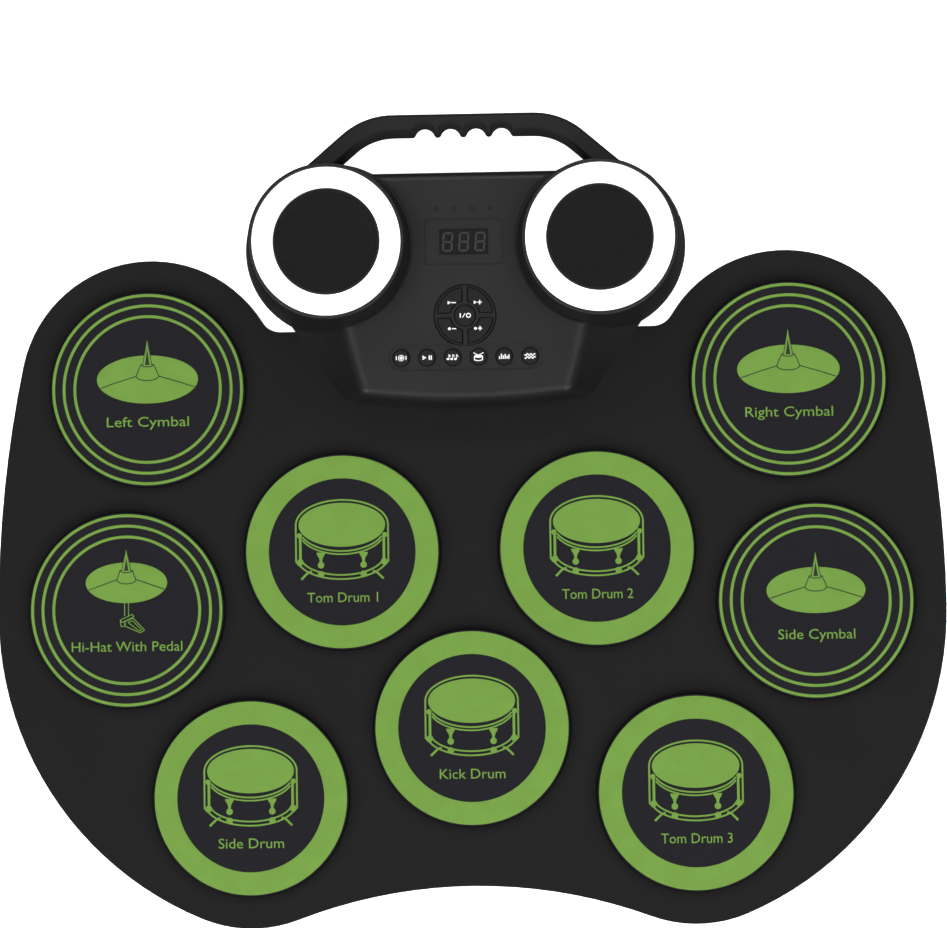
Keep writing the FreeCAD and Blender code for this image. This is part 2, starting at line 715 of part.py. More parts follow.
def speaker_cone(side):
    """Paper cone, dust cap, coil tube and the rolled edge, as one moving piece."""
    px, py = POD
    z0, z1, roll_r, wire = 20.5, 28.4, 21.3, 1.3
    s = cone(px, py, z0, z1, 9.0, roll_r - wire + 0.5)
    s = s.cut(cone(px, py, z0 + 0.6, z1 + 0.6, 9.0, roll_r - wire + 0.5))
    s = s.cut(disc(px, py, z0 - 1, z0 + 2, 8.5))
    roll = Part.makeTorus(roll_r, wire, V(px, py, z1))
    roll = roll.cut(Part.makeTorus(roll_r, wire - 0.5, V(px, py, z1)))
    roll = roll.common(disc(px, py, z1 - 0.3, 40, 30))
    cap = Part.makeSphere(12.0, V(px, py, 13.1)).cut(Part.makeSphere(11.4, V(px, py, 13.1)))
    cap = cap.common(disc(px, py, 20.7, 40, 30))
    coil = ring(px, py, 13.0, 21.0, 8.9, 8.3)
    s = join([s, coil, roll, cap])
    return s if side > 0 else flip(s)


def speaker_screws():
    out = []
    px, py = POD
    for a in range(4):
        t = math.radians(45 + 90 * a)
        x, y = px + 29.0 * math.cos(t), py + 29.0 * math.sin(t)
        screw = disc(x, y, FLANGE[0] - 1.4, FLANGE[0], 2.2).fuse(disc(x, y, FLANGE[0], 32.4, 1.0))
        out += both(screw.removeSplitter())
    return Part.makeCompound(out)


def grille(side):
    """Punched steel plate with a rolled rim that stands on the neck."""
    px, py = POD
    s = disc(px, py, NECK_Z + 0.05, NECK_Z + 0.85, NECK_R[1] - 0.05)
    s = s.fuse(ring(px, py, NECK_Z - 1.4, NECK_Z + 0.1, NECK_R[0] - 0.1, NECK_R[0] - 0.8))
    s = s.removeSplitter()
    rim = [e for e in s.Edges if e.BoundBox.ZMin > NECK_Z + 0.84]
    s = s.makeFillet(0.4, rim)
    return s if side > 0 else flip(s)


def light_ring(side):
    """Frosted ring with an inner lip that goes down into the trough."""
    px, py = POD
    s = ring(px, py, RING_Z[0] + 0.05, RING_Z[1], RING_R[1], RING_R[0])
    edge = [e for e in s.Edges if e.BoundBox.ZMin > RING_Z[1] - 0.01 and e.BoundBox.XLength > 5]
    s = s.makeFillet(0.35, edge)
    skirt = ring(px, py, RING_Z[0] - 1.6, RING_Z[0] + 0.1, RING_R[0] + 1.4, RING_R[0])
    s = s.fuse(skirt).removeSplitter()
    return s if side > 0 else flip(s)


def led_board(side):
    px, py = POD
    z = SHELF_Z[1]
    s = ring(px, py, z, z + 1.2, 33.0, NECK_R[1] + 0.3)
    lamps = []
    for a in range(12):
        b = box(26.8, 30.0, -1.6, 1.6, z + 1.1, z + 2.1)
        b.rotate(V(0, 0, 0), V(0, 0, 1), 30 * a)
        b.translate(V(px, py, 0))
        lamps.append(b)
    s = join([s] + lamps)
    return s if side > 0 else flip(s)


def battery_pack():
    s = box(-17, 17, 112, 146, FLOOR, FLOOR + 7.5)
    s = s.makeFillet(1.5, [e for e in s.Edges if e.BoundBox.YLength > 20 and e.BoundBox.ZLength < 1])
    return s.fuse(box(-10, 10, 107, 113, FLOOR, FLOOR + 3.0)).removeSplitter()


def audio_jack(side, angle):
    """A 3.5 mm socket: a round nose in the wall and a moulded body behind it."""
    nose = radial(1, angle, 32.0, JACK_Z, 7.0, 3.4)
    body = radial_box(1, angle, 24.5, 34.6, 3.6, JACK_Z - 3.4, JACK_Z + 3.4)
    s = nose.fuse(body).removeSplitter()
    s = s.cut(radial(1, angle, 26.0, JACK_Z, 30, 1.8))
    tabs = radial_box(1, angle, 25.5, 30.0, 2.2, JACK_Z - 4.4, JACK_Z - 3.4)
    s = s.fuse(tabs).removeSplitter()
    return s if side > 0 else flip(s)


def audio_jacks():
    return Part.makeCompound([audio_jack(s, a) for s, a in JACKS])


def usb_socket():
    side, angle = USB
    s = radial_box(side, angle, 31.0, 38.9, 4.7, JACK_Z - 1.75, JACK_Z + 1.75)
    s = s.makeFillet(1.2, [e for e in s.Edges if e.Length > 7.5 and e.Length < 8.5])
    s = s.cut(radial_box(side, angle, 32.5, 40, 4.2, JACK_Z - 1.25, JACK_Z + 1.25))
    tongue = radial_box(side, angle, 32.4, 37.8, 3.2, JACK_Z - 0.35, JACK_Z + 0.35)
    return s.fuse(tongue).removeSplitter()


def rubber_feet():
    out = []
    for x, y in FEET:
        foot = cone(x, y, 0, Z0 + 0.6, 6.0, 6.5)
        foot = foot.makeFillet(0.8, [e for e in foot.Edges if e.BoundBox.ZMax < 0.01])
        out += both(foot)
    return Part.makeCompound(out)


def housing_screws():
    out = []
    for x, y in screw_points():
        head = disc(x, y, Z0 + 0.1, Z0 + 1.6, 2.6).fuse(disc(x, y, Z0 + 1.6, 17.0, 1.3))
        slot = box(x - 1.6, x + 1.6, y - 0.35, y + 0.35, Z0, Z0 + 0.9)
        slot = slot.fuse(box(x - 0.35, x + 0.35, y - 1.6, y + 1.6, Z0, Z0 + 0.9))
        out.append(head.removeSplitter().cut(slot))
    return Part.makeCompound(out)


# ---- handle ----------------------------------------------------------------
def handle_plan(offset):
    """Half outline of the bar and leg, offset inwards from the outer edge."""
    a = math.radians(LEG_ANGLE)
    y = BAR_Y[1] - offset
    # the corner point moves along the bisector as the outline is offset
    x = CORNER_X - offset * math.tan(a / 2)
    r = CORNER_R - offset
    t = r * math.tan(a / 2)
    p = (x - t, y)
    q = (x + t * math.cos(a), y - t * math.sin(a))
    m = (p[0] + r * math.sin(a / 2), p[1] - r + r * math.cos(a / 2))
    end = (x + 40 * math.cos(a), y - 40 * math.sin(a))
    return p, m, q, end


def finger_edges(z):
    """Half of the bar's wavy inner edge, from the centre line outwards: ridge, hollow, ridge..."""
    half, y0 = FINGER_PITCH / 2, BAR_Y[0]
    drop = FINGER_DEPTH - RIDGE_R           # hollow's top over the ridge circles' centres
    # hollow radius r: half^2 + (drop - r)^2 = (r + RIDGE_R)^2
    r = (half ** 2 + drop ** 2 - RIDGE_R ** 2) / (2 * (drop + RIDGE_R))
    cy = y0 + FINGER_DEPTH - r
    k = RIDGE_R / (r + RIDGE_R)
    tx, ty = half * k, y0 + RIDGE_R + (cy - y0 - RIDGE_R) * k
    sag = math.atan2(tx, y0 + RIDGE_R - ty) / 2
    mx, my = RIDGE_R * math.sin(sag), y0 + RIDGE_R - RIDGE_R * math.cos(sag)
    out = []
    for i in range(2):
        x = i * FINGER_PITCH
        out.append(arc((x, y0, z), (x + mx, my, z), (x + tx, ty, z)))
        top = (x + half, y0 + FINGER_DEPTH, z)
        out.append(arc((x + tx, ty, z), top, (x + FINGER_PITCH - tx, ty, z)))
        end = x + FINGER_PITCH
        out.append(arc((end - tx, ty, z), (end - mx, my, z), (end, y0, z)))
    return out


def carry_handle():
    z0, z1 = BAR_Z
    outer = handle_plan(0)
    inner = handle_plan(BAR_Y[1] - BAR_Y[0])
    p, m, q, e = [(*k, z0) for k in outer]
    ip, im, iq, ie = [(*k, z0) for k in inner]
    edges = [line((0, p[1], z0), p), arc(p, m, q), line(q, e), line(e, ie), line(ie, iq),
             arc(iq, im, ip), line(ip, (2 * FINGER_PITCH, ip[1], z0))] + finger_edges(z0)
    edges += [flip(k) for k in edges]
    wire = Part.Wire(Part.__sortEdges__(edges))
    s = Part.Face(wire).extrude(V(0, 0, z1 - z0)).removeSplitter()
    s = s.makeChamfer(BEVEL, [k for k in s.Edges if k.BoundBox.ZLength < 0.01])
    for pod in both(pod_form(-0.15, TOP)):
        s = s.cut(pod)
    tip = [radial(k, TENON_ANGLE, 34.4, TENON_Z, 5.6, 2.6) for k in (-1, 1)]
    s = join([s] + tip)
    for k in (-1, 1):
        s = s.cut(radial(k, TENON_ANGLE, 34.0, TENON_Z, 6.2, 1.25))
    return s


def handle_screws():
    out = []
    for k in (-1, 1):
        shank = radial(k, TENON_ANGLE, 34.3, TENON_Z, 5.4, 1.2)
        head = radial(k, TENON_ANGLE, 32.8, TENON_Z, 1.55, 3.4)
        out.append(shank.fuse(head).removeSplitter())
    return Part.makeCompound(out)


# ---- write every piece -----------------------------------------------------
def main():
    form, inside = outer_form(), cavity()
    save(mat_base_sheet(), "mat_base_sheet")
    save(film(0, False), "trigger_film_lower")
    save(film(1, True), "trigger_film_spacer")
    save(film(2, False), "trigger_film_upper")
    save(mat_top_sheet(), "mat_top_sheet")
    for name, (x, y) in PADS.items():
        save(pad(x, y), name)
    save(pad_cushions(), "pad_cushions")
    save(ribbon_tail(), "ribbon_tail")
    save(mat_clamp_plate(), "mat_clamp_plate")
    save(clamp_screws(), "clamp_screws")
    save(lower_housing(form, inside), "lower_housing")
    save(upper_housing(form, inside), "upper_housing")
    for name, shape in make_keys().items():
        save(shape, name)
    save(rubber_keypad(), "rubber_keypad")
    save(key_board(), "key_board")
    save(main_board(), "main_board")
    save(board_screws(), "board_screws")
    save(display_window(), "display_window")
    save(display_module(), "display_module")
    save(indicator_light_pipes(), "indicator_light_pipes")
    for side, word in ((-1, "left"), (1, "right")):
        save(speaker_basket(side), "speaker_basket_" + word)
        save(speaker_magnet(side), "speaker_magnet_" + word)
        save(speaker_cone(side), "speaker_cone_" + word)
        save(grille(side), "grille_" + word)
        save(light_ring(side), "light_ring_" + word)
        save(led_board(side), "led_board_" + word)
    save(speaker_screws(), "speaker_screws")
    save(battery_pack(), "battery_pack")
    save(audio_jacks(), "audio_jacks")
    save(usb_socket(), "usb_socket")
    save(rubber_feet(), "rubber_feet")
    save(housing_screws(), "housing_screws")
    save(carry_handle(), "carry_handle")
    save(handle_screws(), "handle_screws")


main()
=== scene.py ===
"""Electronic drum pad: print, finishes, punched grilles, lamps and studio round the CAD frame."""
import math

import bpy
import numpy as np
from mathutils import Matrix, Vector


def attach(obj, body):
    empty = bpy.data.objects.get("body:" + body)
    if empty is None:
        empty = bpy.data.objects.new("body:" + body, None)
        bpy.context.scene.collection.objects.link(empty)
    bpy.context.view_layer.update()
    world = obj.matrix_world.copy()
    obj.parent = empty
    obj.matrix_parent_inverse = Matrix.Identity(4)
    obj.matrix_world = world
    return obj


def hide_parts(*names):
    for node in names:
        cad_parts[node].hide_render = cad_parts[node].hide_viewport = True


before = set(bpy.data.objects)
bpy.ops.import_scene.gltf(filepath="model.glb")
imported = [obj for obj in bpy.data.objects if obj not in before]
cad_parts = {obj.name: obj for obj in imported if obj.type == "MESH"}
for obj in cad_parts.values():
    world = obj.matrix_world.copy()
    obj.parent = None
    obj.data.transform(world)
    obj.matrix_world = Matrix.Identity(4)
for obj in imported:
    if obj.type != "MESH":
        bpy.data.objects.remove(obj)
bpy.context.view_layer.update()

MM = 0.001
TAU = 2 * math.pi
ROOT = "console_and_mat"     # the body that everything fixed rides on

# ---- camera and lights, in metres, degrees and watts ----------------------------
CAM_EYE, CAM_AIM = (0.035, -0.0208, 1.2), (0.0023, 0.0264, 0.0)
CAM_ROLL, CAM_LENS = 0.837, 99.04
CAM_SENSOR = 36.0
SKY_LEVEL, FLOOR_GLOW = 0.10, 0.85
FLOOR_HALF, FLOOR_Z = 4.0, -0.0002
# name, place, aim, size, power
LIGHTS = [
    ("softbox_over", (0.0, -0.1, 2.6), (0.0, 0.0, 0.0), (3.2, 3.2), 24.0),
    ("strip_front", (0.0, -1.05, 1.3), (0.0, 0.0, 0.0), (1.4, 0.35), 6.0),
    ("strip_rear", (0.0, 1.3, 0.95), (0.0, 0.1, 0.0), (1.4, 0.3), 11.0),
    ("softbox_front_-1", (-0.85, -1.25, 0.95), (0.0, 0.05, 0.0), (0.6, 0.4), 12.0),
    ("strip_side_-1", (-0.95, 0.1, 1.5), (0.0, 0.05, 0.0), (1.0, 0.35), 7.0),
    ("softbox_front_1", (0.85, -1.25, 0.95), (0.0, 0.05, 0.0), (0.6, 0.4), 12.0),
    ("strip_side_1", (0.95, 0.1, 1.5), (0.0, 0.05, 0.0), (1.0, 0.35), 7.0),
]

# ---- the object's own dimensions, in millimetres ----------------------------
PADS = {
    "pad_crash_left": (-147.3, 62.9),
    "pad_crash_right": (147.3, 62.9),
    "pad_hi_hat": (-157.9, -38.6),
    "pad_ride": (157.9, -38.6),
    "pad_tom_high": (-58.4, -13.2),
    "pad_tom_low": (58.4, -13.2),
    "pad_kick": (0.0, -94.5),
    "pad_snare": (-101.7, -125.3),
    "pad_floor_tom": (101.7, -125.3),
}
# each pad's name, how far below the pad's centre it stands, and its width
LABELS = {
    "pad_crash_left": ("Left Cymbal", 14.9, 38.0),
    "pad_crash_right": ("Right Cymbal", 14.9, 40.0),
    "pad_hi_hat": ("Hi-Hat With Pedal", 16.6, 51.0),
    "pad_ride": ("Side Cymbal", 15.2, 35.0),
    "pad_tom_high": ("Tom Drum 1", 20.8, 32.5),
    "pad_tom_low": ("Tom Drum 2", 20.8, 32.5),
    "pad_kick": ("Kick Drum", 20.8, 30.0),
    "pad_snare": ("Side Drum", 20.5, 30.0),
    "pad_floor_tom": ("Tom Drum 3", 20.5, 32.5),
}
# half width, half height and middle of the disc drawn on each cymbal pad
CYMBALS = {
    "pad_crash_left": (23.4, 11.1, 4.6),
    "pad_crash_right": (23.4, 11.1, 4.6),
    "pad_hi_hat": (18.8, 9.3, 12.6),
    "pad_ride": (22.5, 10.5, 4.8),
}
CYMBAL_RINGS = ((44.1, 42.8), (39.3, 38.0), (34.3, 33.0))     # outer and inner radius of each
DRUM_RING = (44.1, 33.75)
PAD_R, PAD_TOP, MAT_TOP = 45.0, 6.2, 4.0
PAD_SHADOW_WIDTH, PAD_SHADOW_SHIFT = 8.0, 1.5     # width of the painted shadow round a pad, and how far back it lies
CAP_HEIGHT = 4.5             # a capital letter of the pads' names
INK = (-0.10, 0.03)          # a print's underside and top, measured from the surface
OVER_INK = (-0.06, 0.10)     # a dark line printed over green
PLY = 0.0015                 # how much higher each stroke of a drawing lies than the one before
POD = (61.4, 125.9)          # centre of the right-hand pod
FACE_Y, FACE_Z = 53.0, 19.5  # a point on the console's sloping face
SLOPE = math.atan2(27.0 - 19.5, 104.0)
DISH_Y, ROW_Y, SCREEN_Y = 93.0, 74.2, 126.4     # middles of the dish, the key row and the display
KEY_PITCH, MARK_OUT = 11.7, 5.9      # between row keys, and from the dish's middle to a curved key's mark
SECTOR_TOP, KEY_TOP = 0.5, 0.9       # of the dish's keys and the row's, over the face
NECK_Z = 38.6                # top of a pod's neck, on which the grille stands


# ---- shader expressions -------------------------------------------------------
class Val:
    """A number socket. Arithmetic on it adds Math nodes to its tree."""

    def __init__(self, skin, socket):
        self.skin, self.socket = skin, socket

    def op(self, name, *others):
        inputs = dict(enumerate([self, *others]))
        return self.skin.node("ShaderNodeMath", {"operation": name}, inputs)

    def __add__(self, o): return self.op("ADD", o)
    __radd__ = __add__
    def __mul__(self, o): return self.op("MULTIPLY", o)
    __rmul__ = __mul__
    def __rsub__(self, o): return (self * -1.0) + o

    def step(self, low, high):
        """0 below low, 1 above high, smooth between them."""
        return self.skin.node("ShaderNodeMapRange", {"interpolation_type": "SMOOTHSTEP"},
                              {0: self, 1: low, 2: high, 3: 0.0, 4: 1.0})


class Skin:
    """One finish: a material on object coordinates, in metres."""

    def __init__(self, name):
        self.mat = bpy.data.materials.new(name)
        self.mat.use_nodes = True
        self.tree = self.mat.node_tree
        self.tree.nodes.clear()
        self.out = self.tree.nodes.new("ShaderNodeOutputMaterial")
        self.shader = self.tree.nodes.new("ShaderNodeBsdfPrincipled")
        self.tree.links.new(self.shader.outputs[0], self.out.inputs[0])
        self.place = self.node("ShaderNodeTexCoord", out="Object")

    def node(self, kind, settings=None, inputs=None, out=0):
        """Adds a node: its settings first, then its inputs, by name or number."""
        n = self.tree.nodes.new(kind)
        for key, value in (settings or {}).items():
            setattr(n, key, value)
        for key, value in (inputs or {}).items():
            self.feed(n.inputs[key], value)
        return Val(self, n.outputs[out])

    def feed(self, socket, value):
        if isinstance(value, Val):
            self.tree.links.new(value.socket, socket)
        elif isinstance(value, (tuple, list)) and len(value) == 3 and socket.type == "RGBA":
            socket.default_value = (*value, 1.0)
        else:
            socket.default_value = value

    def set(self, **sockets):
        """Sets or links the main shader's sockets, named with underscores for spaces."""
        for key, value in sockets.items():
            self.feed(self.shader.inputs[key.replace("_", " ")], value)
        return self

    def gloss(self, level):
        """How strongly the surface mirrors its surroundings."""
        self.shader.inputs["Specular IOR Level"].default_value = level
        return self

    def noise(self, size_mm, detail=3.0, stretch=None):
        """Cloudy noise from 0 to 1 whose lumps are about size_mm across."""
        place = self.place
        if stretch:
            place = self.node("ShaderNodeMapping", None, {"Vector": place, "Scale": stretch})
        return self.node("ShaderNodeTexNoise", None,
                         {"Vector": place, "Scale": 1000.0 / size_mm, "Detail": detail})

    def cells(self, size_mm):
        """Distance to the nearest of scattered points about size_mm apart."""
        return self.node("ShaderNodeTexVoronoi", {"feature": "F1"},
                         {"Vector": self.place, "Scale": 1000.0 / size_mm})

    def mix(self, amount, a, b):
        """Colour a where amount is 0, b where it is 1."""
        return self.node("ShaderNodeMix", {"data_type": "RGBA"}, {0: amount, 6: a, 7: b}, out=2)

    def bump(self, height, strength, depth_mm):
        n = self.node("ShaderNodeBump", None,
                      {"Strength": strength, "Distance": depth_mm * MM, "Height": height})
        return self.set(Normal=n)

    def axis(self, name):
        """One coordinate of the surface point, in metres."""
        return self.node("ShaderNodeSeparateXYZ", None, {0: self.place}, out=name)


def tint(colour, k):
    """The colour times k, with no channel over 1."""
    return tuple(min(1.0, c * k) for c in colour)


def silicone(name, colour, grain_mm=0.35, rough=0.55, depth=0.03, mottle=0.08):
    """Moulded silicone: slow clouding, fine grain and a soft sheen."""
    s = Skin(name).gloss(0.14)
    cloud = s.noise(38.0, 4.0)
    fine = s.noise(grain_mm, 2.0)
    speck = s.cells(grain_mm * 2.3)
    shade = s.mix(cloud.step(0.3, 0.7), tint(colour, 1 - mottle), tint(colour, 1 + mottle))
    shade = s.mix(fine.step(0.62, 0.8) * 0.25, shade, tint(colour, 1.5))
    s.set(Base_Color=shade, Roughness=rough + cloud * 0.08 + fine * 0.06)
    s.bump(fine * 0.6 + speck * 0.4, 0.5, depth)
    return s.mat


def mat_skin(name, colour):
    """The mat's silicone, rougher round each pad and with a painted shadow there, set a little towards
    the back.
    """
    s = Skin(name).gloss(0.12)
    nearest = None
    # each pad's painted shadow is centred a little behind the pad
    for x, y in PADS.values():
        middle = (x * MM, (y + PAD_SHADOW_SHIFT) * MM, MAT_TOP * MM)
        gap = s.node("ShaderNodeVectorMath", {"operation": "DISTANCE"}, {0: s.place, 1: middle},
                     out="Value")
        nearest = gap if nearest is None else nearest.op("MINIMUM", gap)
    painted_shadow = 1.0 - nearest.step((PAD_R - 2.0) * MM, (PAD_R + PAD_SHADOW_WIDTH) * MM)
    cloud = s.noise(38.0, 4.0)
    fine = s.noise(0.4, 2.0)
    shade = s.mix(cloud.step(0.3, 0.7), tint(colour, 0.93), tint(colour, 1.07))
    shade = s.mix(fine.step(0.62, 0.8) * 0.25, shade, tint(colour, 1.5))
    # painted shadow: the mat is darkened round each pad, where the pad's shade falls
    shade = s.mix(painted_shadow * 0.75, shade, tint(colour, 0.3))
    s.set(Base_Color=shade, Roughness=0.6 + cloud * 0.06 + fine * 0.06 + painted_shadow * 0.1)
    s.bump(fine * 0.6 + s.cells(0.9) * 0.4, 0.5, 0.03)
    return s.mat


def moulded(name, colour, rough=0.5, grain_mm=0.55, depth=0.035, gloss=0.12):
    """Spark-eroded moulded plastic: tight pits, slight wear clouding."""
    s = Skin(name).gloss(gloss)
    pits = s.cells(grain_mm)
    fine = s.noise(grain_mm * 0.6, 2.0)
    cloud = s.noise(24.0, 3.0)
    shade = s.mix(cloud.step(0.25, 0.75), tint(colour, 0.94), tint(colour, 1.07))
    s.set(Base_Color=shade, Roughness=rough + cloud * 0.07 + pits * 0.06)
    s.bump(pits * 0.7 + fine * 0.3, 0.4, depth)
    return s.mat


def ink(name, colour, rough=0.6):
    """Screen-printed ink: even coat, faint mesh marks and pinholes."""
    s = Skin(name).gloss(0.25)
    cloud = s.noise(9.0, 4.0)
    mesh = s.noise(0.25, 1.0)
    shade = s.mix(cloud.step(0.3, 0.7), tint(colour, 0.96), tint(colour, 1.04))
    shade = s.mix(mesh.step(0.74, 0.8) * 0.5, shade, tint(colour, 0.72))
    s.set(Base_Color=shade, Roughness=rough + mesh * 0.08)
    s.bump(mesh, 0.25, 0.02)
    return s.mat


def metal(name, colour, rough=0.32, stretch=(1.0, 40.0, 40.0)):
    """Drawn or rolled steel with fine lines along one direction."""
    s = Skin(name)
    lines = s.noise(6.0, 3.0, stretch)
    spots = s.noise(3.0, 3.0)
    s.set(Base_Color=s.mix(spots, tint(colour, 0.9), tint(colour, 1.08)), Metallic=1.0,
          Roughness=rough + lines * 0.12 + spots * 0.05)
    s.bump(lines, 0.2, 0.01)
    return s.mat


def circuit(name, mask, copper):
    """Solder mask over copper tracks, with plated dots."""
    s = Skin(name)
    track = s.node("ShaderNodeTexBrick", {"offset": 0.5},
                   {"Vector": s.place, "Scale": 160.0, "Mortar Size": 0.012}, out="Fac")
    dots = 1.0 - s.cells(3.1).step(0.16, 0.2)
    base = s.mix(track, mask, tint(mask, 1.8))
    s.set(Base_Color=s.mix(dots, base, copper), Roughness=0.35 + s.noise(2.0) * 0.1,
          Metallic=dots * 0.8)
    s.bump(track + dots, 0.3, 0.03)
    return s.mat


def lamp_white(name, colour, glow):
    """Frosted diffuser, evenly lit from behind."""
    s = Skin(name)
    frost = s.noise(0.4, 2.0)
    cloud = s.noise(11.0, 2.0)
    warm = s.mix(cloud, tint(colour, 0.985), colour)
    s.set(Base_Color=warm, Roughness=0.45 + frost * 0.1, Emission_Color=warm)
    s.shader.inputs["Emission Strength"].default_value = glow
    s.bump(frost, 0.15, 0.02)
    return s.mat


def smoked(name, colour, clear):
    """Smoked glossy plastic. clear is how much of what lies behind it shows."""
    s = Skin(name).gloss(0.2)
    swirl = s.noise(5.0, 3.0)
    s.set(Base_Color=s.mix(swirl, tint(colour, 0.9), tint(colour, 1.1)), Roughness=0.12 + swirl * 0.06)
    s.shader.inputs["Alpha"].default_value = 1 - clear
    return s.mat


def fibre(name, colour):
    """Pressed paper pulp."""
    s = Skin(name)
    pulp = s.noise(0.9, 6.0)
    s.set(Base_Color=s.mix(pulp, tint(colour, 0.8), tint(colour, 1.25)), Roughness=0.75 + pulp * 0.15)
    s.bump(pulp, 0.5, 0.08)
    return s.mat


def foam(name, colour):
    """Open foam: paler walls round hollows darkened with painted shade."""
    s = Skin(name)
    cell = s.cells(0.5)
    # painted shade: darker towards each cell's hollow
    s.set(Base_Color=s.mix(cell, tint(colour, 0.6), tint(colour, 1.3)), Roughness=0.85 + cell * 0.1)
    s.bump(cell, 0.6, 0.15)
    return s.mat


def film_tracks(name, colour):
    """Clear film with silver printed tracks in rows."""
    s = Skin(name)
    row = s.node("ShaderNodeMath", {"operation": "PINGPONG"}, {0: s.axis("X"), 1: 0.001})
    track = row.step(0.0005, 0.0006)
    s.set(Base_Color=s.mix(track, colour, (0.5, 0.5, 0.52)), Roughness=0.3 + s.noise(4.0) * 0.1,
          Metallic=track * 0.6)
    return s.mat


def ribbed(name, colour):
    """Non-slip backing: a waffle of low ridges, with painted shade darkening the grooves between them."""
    s = Skin(name)
    rows = s.node("ShaderNodeMath", {"operation": "PINGPONG"}, {0: s.axis("X"), 1: 0.0012})
    cols = s.node("ShaderNodeMath", {"operation": "PINGPONG"}, {0: s.axis("Y"), 1: 0.0012})
    waffle = rows.step(0.0001, 0.0004) * cols.step(0.0001, 0.0004)
    grain = s.noise(0.5)
    # painted shade: the grooves are coloured darker than the ridges
    s.set(Base_Color=s.mix(waffle, tint(colour, 0.7), tint(colour, 1.15)), Roughness=0.7 + grain * 0.1)
    s.bump(waffle + grain * 0.15, 0.6, 0.15)
    return s.mat


# ---- shapes -------------------------------------------------------------------
def ring_path(rx, ry=None, centre=(0.0, 0.0), start=0.0, turn=TAU, n=96):
    """Points on an ellipse: centre + (rx cos t, ry sin t)."""
    t = np.linspace(start, start + turn, n, endpoint=abs(turn) < TAU - 1e-6)
    return np.stack([centre[0] + rx * np.cos(t), centre[1] + (ry or rx) * np.sin(t)], 1)


def edges_of(path, width, closed):
    """Both edges of a band: the path moved half its width along its normal."""
    p = np.asarray(path, float)
    if closed:
        t = np.roll(p, -1, 0) - np.roll(p, 1, 0)
    else:
        t = np.gradient(p, axis=0)
    t /= np.linalg.norm(t, axis=1)[:, None]
    nrm = np.stack([-t[:, 1], t[:, 0]], 1)
    w = np.asarray(width, float)
    half = (w / 2)[:, None] if w.ndim else w / 2
    return p + nrm * half, p - nrm * half


def band(left, right, z, closed):
    """A flat strip with thickness: four rows of points joined round, with ends if open."""
    n = len(left)
    low, high = np.full((n, 1), z[0]), np.full((n, 1), z[1])
    v = np.vstack([np.hstack([left, high]), np.hstack([right, high]),
                   np.hstack([right, low]), np.hstack([left, low])])
    i = np.arange(n if closed else n - 1)
    j = (i + 1) % n
    quads = []
    for a in range(4):
        b = (a + 1) % 4
        quads.append(np.stack([a * n + i, b * n + i, b * n + j, a * n + j], 1))
    faces = np.vstack(quads).tolist()
    if not closed:
        faces += [[3 * n, 2 * n, n, 0], [n - 1, 2 * n - 1, 3 * n - 1, 4 * n - 1]]
    return v, faces


def stroke(path, width, z, closed=False):
    """A drawn line of the given width along a path."""
    return band(*edges_of(path, width, closed), z, closed)


def plate(outline, z):
    """A filled shape: its outline at two heights, counter-clockwise, with flat ends."""
    p = np.asarray(outline, float)
    n = len(p)
    v = np.vstack([np.hstack([p, np.full((n, 1), z[1])]), np.hstack([p, np.full((n, 1), z[0])])])
    i = np.arange(n)
    j = (i + 1) % n
    sides = np.stack([i, n + i, n + j, j], 1).tolist()
    return v, [list(range(n))] + [list(range(2 * n - 1, n - 1, -1))] + sides


def annulus(outer, inner, z):
    """A flat ring about the origin: the band between two circles."""
    return band(ring_path(inner, n=180), ring_path(outer, n=180), z, True)


def merged(parts, rise=0.0):
    """Several (points, faces) joined as one, each rise higher than the one before."""
    v, f, base = [], [], 0
    for k, (pv, pf) in enumerate(parts):
        v.append(pv + np.array([0.0, 0.0, k * rise]))
        f += [[k + base for k in face] for face in pf]
        base += len(pv)
    return np.vstack(v), f


def moved(part, x=0.0, y=0.0, z=0.0):
    """The part with (x, y, z) added to every point."""
    return part[0] + np.array([x, y, z]), part[1]


def on_face(part, y):
    """A flat drawing tipped about X by the slope and lifted to the console's face at y."""
    v, f = part
    c, s = math.cos(SLOPE), math.sin(SLOPE)
    out = np.stack([v[:, 0], v[:, 1] * c - v[:, 2] * s, v[:, 1] * s + v[:, 2] * c], 1)
    out += np.array([0.0, y, FACE_Z + (y - FACE_Y) * math.tan(SLOPE)])
    return out, f


def piece(name, part, mat, body):
    """Makes a mesh object from millimetre points, rides it on its body and gives it its finish."""
    v, f = part
    mesh = bpy.data.meshes.new(name)
    mesh.from_pydata((np.asarray(v) * MM).tolist(), [], f)
    mesh.polygons.foreach_set("use_smooth", [False] * len(f))
    mesh.validate()
    mesh.update()
    obj = bpy.data.objects.new(name, mesh)
    bpy.context.scene.collection.objects.link(obj)
    mesh.materials.append(mat)
    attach(obj, body)
    return obj


